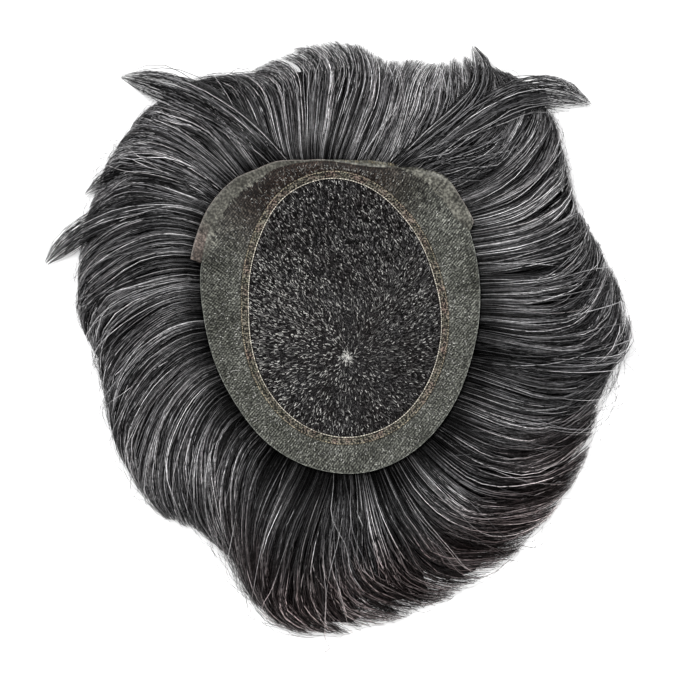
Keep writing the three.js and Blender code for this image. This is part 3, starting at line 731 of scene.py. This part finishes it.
def hair_piece(name, low, high, material):
    rng = np.random.default_rng(SEED * 1000 + int(low))
    batches = []
    for kind in KINDS:
        lock_strands(rng, low, high, kind, batches)
    for row in FLICKS:
        root = row[0] + (TURN if row[0] + TURN <= high else 0)
        if low <= root < high:
            flick_strands(rng, row, batches)
    total = sum(len(batch[0]) for batch in batches)
    done, points, faces, uv, values = 0, [], [], [], {"tone": [], "warm": [], "painted_light": []}
    for paths, radii, tone, warm, painted_light in batches:
        count, steps = radii.shape
        first = sum(map(len, points))
        made, sides = tubes(paths, radii, 3, rng.uniform(-0.5, 0.5, count))
        points.append(made)
        faces += [side + first for side in sides]
        uv.append(cells(count, steps, 3, done, total))
        values["tone"].append(per_point(tone, steps, 3))
        values["warm"].append(np.repeat(warm.ravel(), 3))
        # The painted light and shade of each point
        values["painted_light"].append(np.repeat(painted_light.ravel(), 3))
        done += count
    quads = [f for f in faces if f.shape[1] == 4]
    caps = [f for f in faces if f.shape[1] == 3]
    build(name + "_strands", np.concatenate(points), [np.concatenate(quads), np.concatenate(caps)],
          material, replaces=(name,), uv=np.concatenate(uv),
          values={key: np.concatenate(value) for key, value in values.items()})


def hair_mat(name, material):
    """The dense hair below the strands: the node's own form, smaller and flatter, without the
    ends of its single locks."""
    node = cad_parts[name]
    co = np.array([v.co for v in node.data.vertices], float) * MM_PER_M
    co[:, :2] -= middle
    deg = np.degrees(np.arctan2(co[:, 1], co[:, 0]))
    radius = np.hypot(co[:, 0], co[:, 1])
    tips = np.concatenate([GUIDES[:, 2] - TURN, GUIDES[:, 2], GUIDES[:, 2] + TURN])
    outline = np.interp(deg, tips, np.tile(GUIDES[:, 4], 3)) * HAIR_REACH
    inner = radius * (1 - MAT_NARROWER * smooth((radius / border_radius(deg) - 0.95) / 0.5))
    limit = MAT_REACH - MAT_LESS_IN_FRONT * zone(deg, *MAT_FRONT_ZONE)
    co[:, :2] *= (np.minimum(inner, limit * outline) / radius)[:, None]
    co[:, 2] = np.where(co[:, 2] < 0.1, 0, np.maximum(co[:, 2] * MAT_HEIGHT, 0.15))
    faces = np.array([list(p.vertices) for p in node.data.polygons])
    build(name + "_mat", co, [faces], material, replaces=(name,), sharp=True)


hair = hair_material("hair_strand")
mat = mat_material()
for (name, low), (_, high) in zip(GROUPS, GROUPS[1:] + [("", GROUPS[0][1] + TURN)]):
    hair_piece(name, low, high, hair)
    hair_mat(name, mat)
hair_mat("crown_hair", mat)

# the base

NET_TOP = 1.0  # how thick the base is in the part's source: its top lies this far above bowl()
SHEET = 0.6  # how thick its sheets are here
TAPE = 0.5
NET_KNOTS = 2900
BORDER_KNOTS = 2200
FILM_TICKS = 70
# How far inside the border's edge only film is left, by angle
FILM_SHOWS = np.array([(34, -2), (40, 4), (50, 5), (58, 3), (66, 2), (72, -2), (110, -2), (120, 2),
                       (140, 4), (153, 4), (159, -2)])


def over(height):
    return lambda p, share, deg: bowl(p) + height


def ring(name, line, height, radius, material, tone, slot, dash=1.0, ends=(0, TURN)):
    """Stitches or a bead along a line in the plan: each covers a share of its pitch, its dash."""
    parts = len(tone)
    pitch = (ends[1] - ends[0]) / parts
    deg = ends[0] + np.arange(parts) * pitch
    steps = 3 if dash < 1 else 2
    xy = line(deg[:, None] + np.linspace(0, min(dash, 0.999), steps)[None, :] * pitch)
    z = bowl(xy) + height
    thin = np.ones(steps) if dash == 1 else np.array([0.55, 1.0, 0.55])
    paths = np.concatenate([xy, z[..., None]], -1)
    points, faces = tubes(paths, radius * thin[None, :] * np.ones((parts, 1)), 5)
    return build(name, points, faces, material, uv=cells(parts, steps, 5),
                 values={"tone": per_point(tone, steps, 5)})


def knots(name, xy, heading, length, radii, height, tone, material):
    """Short pieces of knotted hair lying on a sheet, as one mesh of small tubes."""
    count = len(xy)
    s = np.array([-0.5, 0.5])
    line = xy[:, None] + direction(heading)[:, None] * (length[:, None] * s)[..., None]
    z = bowl(line) + height[:, None]
    paths = np.concatenate([line, z[..., None]], -1)
    rng = np.random.default_rng(SEED + 60)
    points, faces = tubes(paths, rng.uniform(*radii, (count, 1)) * np.ones((1, 2)), 3)
    return build(name, points, faces, material, uv=cells(count, 2, 3),
                 values={"tone": per_point(tone, 2, 3)})


def base_pieces():
    rng = np.random.default_rng(SEED + 50)
    points, faces = shell(lambda d: NET_MIDDLE + direction(d) * 0.4, lambda d: net_point(d, SEAM_LAP),
                          over(NET_TOP - SHEET), over(NET_TOP), 22)
    net = build("crown_lace", points, faces, net_material(), replaces=("crown_net",))

    def skin(height):
        """The height of the border, which sinks to the film along its edge in front."""
        def level(p, share, deg):
            corner = smooth((deg - STRIP_ENDS[0]) / 4) * smooth((STRIP_ENDS[1] - deg) / 4)
            sunk = corner * smooth((share - 0.6) / 0.38)
            return bowl(p) + height - sunk * (NET_TOP + CLEARANCE + 0.25)
        return level

    points, faces = shell(lambda d: net_point(d, SEAM_LAP + CLEARANCE), border_point,
                          skin(NET_TOP - SHEET), skin(NET_TOP), 16)
    deg = np.degrees(np.arctan2(points[:, 1], points[:, 0])) % TURN
    inward = border_radius(deg) - np.hypot(points[:, 0], points[:, 1])
    bare = np.interp(deg, FILM_SHOWS[:, 0], FILM_SHOWS[:, 1])
    pale = smooth((bare + 1.5 - inward) / 3) * (1 - 0.45 * smooth((deg - 100) / 10))
    border = build("border_skin", points, faces, border_material(),
                   replaces=("border",), values={
                       "shade": smooth((58 - np.abs(deg - 102)) / 38), "pale": pale})
    seat = NET_TOP + CLEARANCE
    points, faces = shell(net_point, lambda d: net_point(d, TAPE_WIDTH),
                          over(seat), over(seat + TAPE), 4)
    tape = build("seam_tape_band", points, faces, tape_material(),
                 replaces=("seam_tape",))

    def strip_height(p, share, deg):
        return bowl(p) - CLEARANCE - NET_TOP - lip_drop(share, deg)

    points, faces = shell(lambda d: border_point(d, -STRIP_LAP), strip_point,
                          strip_height, lambda *a: strip_height(*a) + SHEET, 12, 140, STRIP_ENDS)
    deg = np.degrees(np.arctan2(points[:, 1], points[:, 0])) % TURN
    strip = build("front_film", points, faces, film_material(),
                  replaces=("front_strip",), values={
                      "shade": smooth((deg - 143) / 8),
                      "dim": 0.3 * smooth((deg - 100) / 10) * smooth((150 - deg) / 10)})

    # Knots of the hair through the net and the hair beside them, radiating from the whorl
    speck = thread_material("knot", (0.03, 0.029, 0.028), (0.9, 0.89, 0.85))

    def over_net(count):
        reach = rng.uniform(0, 1, count) ** 0.5
        place = NET_MIDDLE + (net_point(rng.uniform(0, TURN, count), -0.8)
                              - NET_MIDDLE) * reach[:, None]
        crowded = rng.random(count) < 0.025
        place = np.where(crowded[:, None], WHORL + rng.normal(0, 2.2, (count, 2)), place)
        away = place - WHORL
        heading = np.degrees(np.arctan2(away[:, 1], away[:, 0]))
        bright = 0.5 - 0.5 * np.cos(np.radians(heading - 10)) + 1.3 * np.exp(-np.hypot(*away.T) / 5)
        swept = smooth(away[:, 1] / 55) * (heading > 60) * (heading < NET_SWEEP)
        heading = heading + 0.75 * (NET_SWEEP - heading) * swept
        x, y = place.T
        patchy = np.sin(x / 5.3 + 2 * np.sin(y / 9)) * np.sin(y / 4.1 + 1.5 * np.sin(x / 7))
        return place, heading, np.clip(bright + 0.45 * patchy, 0, 1.4)

    count = NET_KNOTS
    xy, heading, bright = over_net(count)
    specks = [knots("net_knots", xy, heading + rng.normal(5, 20, count),
                    rng.uniform(0.4, 2.2, count), (0.12, 0.36), rng.uniform(1.05, 1.35, count),
                    rng.random(count) ** (1.4 - 0.98 * bright), speck)]
    xy, heading, bright = over_net(count)
    specks.append(knots(
        "net_threads", xy, heading + rng.normal(5, 14, count), rng.uniform(1.2, 4.0, count),
        (0.09, 0.2), rng.uniform(1.05, 1.3, count), rng.random(count) ** 2 * (0.35 + 0.4 * bright),
        speck))
    count = BORDER_KNOTS
    angle = rng.uniform(0, TURN, count)
    near, far = net_point(angle, TAPE_WIDTH + 1), border_point(angle, -2.5)
    outer = near + (far - near) * (rng.uniform(0, 1, count) ** 1.3)[:, None]
    front = zone(angle, 98, 60, 30)
    flecks = knots("border_knots", outer, angle + rng.normal(0, 35, count),
                   rng.uniform(0.3, 1.6, count), (0.14, 0.3), np.full(count, NET_TOP + 0.12),
                   rng.random(count) ** 2 * (1 - 0.4 * front), speck)
    count = FILM_TICKS
    angle = np.sort(rng.uniform(69, 101, count))
    glue = thread_material("glue", (0.1, 0.085, 0.055), (0.42, 0.36, 0.24))
    ticks = knots("film_ticks", strip_point(angle, -1.4), angle + rng.normal(0, 14, count),
                  rng.uniform(0.8, 2.6, count), (0.12, 0.22), np.full(count, -2.4),
                  rng.random(count), glue)

    cream = thread_material("cream_thread", (0.24, 0.22, 0.18), (0.95, 0.89, 0.76))
    gold = thread_material("gold_thread", (0.09, 0.075, 0.05), (0.6, 0.51, 0.35))
    edge = thread_material("cut_edge", (0.09, 0.095, 0.082), (0.36, 0.37, 0.33))
    film_edge = thread_material("film_edge", (0.16, 0.14, 0.125), (0.36, 0.32, 0.29))
    bead = ring("inner_bead", lambda d: net_point(d, 0.2), seat + TAPE, 0.36, cream,
                rng.random(300) ** 0.6, "tape", 0.85)
    rows = [ring("stitch_row_outer", lambda d: net_point(d, TAPE_WIDTH - 0.7), seat + TAPE + 0.05,
                 0.3, gold, rng.random(290), "tape", 0.58),
            ring("stitch_row_inner", lambda d: net_point(d, 1.9), seat + TAPE + 0.05, 0.18, gold,
                 rng.random(230) * 0.5, "tape", 0.5)]
    rim = ring("border_edge", lambda d: border_point(d, -0.15), NET_TOP, 0.22, edge,
               rng.random(240) ** 1.5, "border", ends=(STRIP_ENDS[1], STRIP_ENDS[0] + TURN))
    crests = [ring(name, lambda d: strip_point(d, -0.12), -CLEARANCE - 0.4, 0.2, film_edge,
                   rng.random(count), "strip", ends=ends) for name, count, ends in (
                       ("strip_edge_right", 50, (STRIP_ENDS[0] + 1.2, LIP_ENDS[0])),
                       ("strip_edge_left", 120, (LIP_ENDS[1], STRIP_ENDS[1])))]


base_pieces()

# stage, light and camera

floor_material = Nodes("floor")
floor_material.set(Base_Color=floor_material.ramp(
    floor_material.noise(300.0), (0.0, (0.9,) * 3), (1.0, (0.93,) * 3)), Roughness=0.9,
    Emission_Color=grey(1.0), Emission_Strength=0.35)
floor = bpy.data.objects.new("floor", bpy.data.meshes.new("floor"))
edge = 4.0  # in metres, from the middle
floor.data.from_pydata([(-edge, -edge, 0), (edge, -edge, 0), (edge, edge, 0), (-edge, edge, 0)],
                       [], [(0, 1, 2, 3)])
floor.data.materials.append(floor_material.material)
bpy.context.scene.collection.objects.link(floor)

world = bpy.data.worlds.new("studio")
world.use_nodes = True
world.node_tree.nodes["Background"].inputs["Color"].default_value = grey(1.0)
world.node_tree.nodes["Background"].inputs["Strength"].default_value = 0.35
bpy.context.scene.world = world


def lamp(name, place, size, power):
    light = bpy.data.lights.new(name, "AREA")
    light.shape = "DISK"
    light.size = size
    light.energy = power
    lamp_object = bpy.data.objects.new(name, light)
    lamp_object.location = place
    away = -np.array(place) + np.array([0, 0, 0.02])
    lamp_object.rotation_euler = (
        math.acos(-away[2] / np.linalg.norm(away)), 0, math.atan2(away[1], away[0]) - math.pi / 2)
    bpy.context.scene.collection.objects.link(lamp_object)


lamp("key", (-0.35, 0.45, 1.6), 0.5, 21.0)
lamp("fill", (0.5, -0.5, 1.4), 0.6, 10.0)

# The camera looks straight down, as the photo's does, from high enough that it hardly foreshortens
CAMERA_DISTANCE = 3.0
FOCUS_HEIGHT = 0.03
SENSOR_WIDTH = 36.0
PHOTO_PIXELS = 679
MM_PER_PIXEL = 0.7
PHOTO_MIDDLE = np.array([-1.4, -15.75])  # from the middle of the base
camera = bpy.data.objects.new("camera", bpy.data.cameras.new("camera"))
camera.data.sensor_width = SENSOR_WIDTH
camera.data.lens = SENSOR_WIDTH * CAMERA_DISTANCE / (MM_PER_PIXEL * PHOTO_PIXELS / MM_PER_M)
camera.location = (*(middle + PHOTO_MIDDLE) / MM_PER_M, FOCUS_HEIGHT + CAMERA_DISTANCE)
bpy.context.scene.collection.objects.link(camera)
bpy.context.scene.camera = camera
bpy.context.scene.view_settings.view_transform = "Standard"
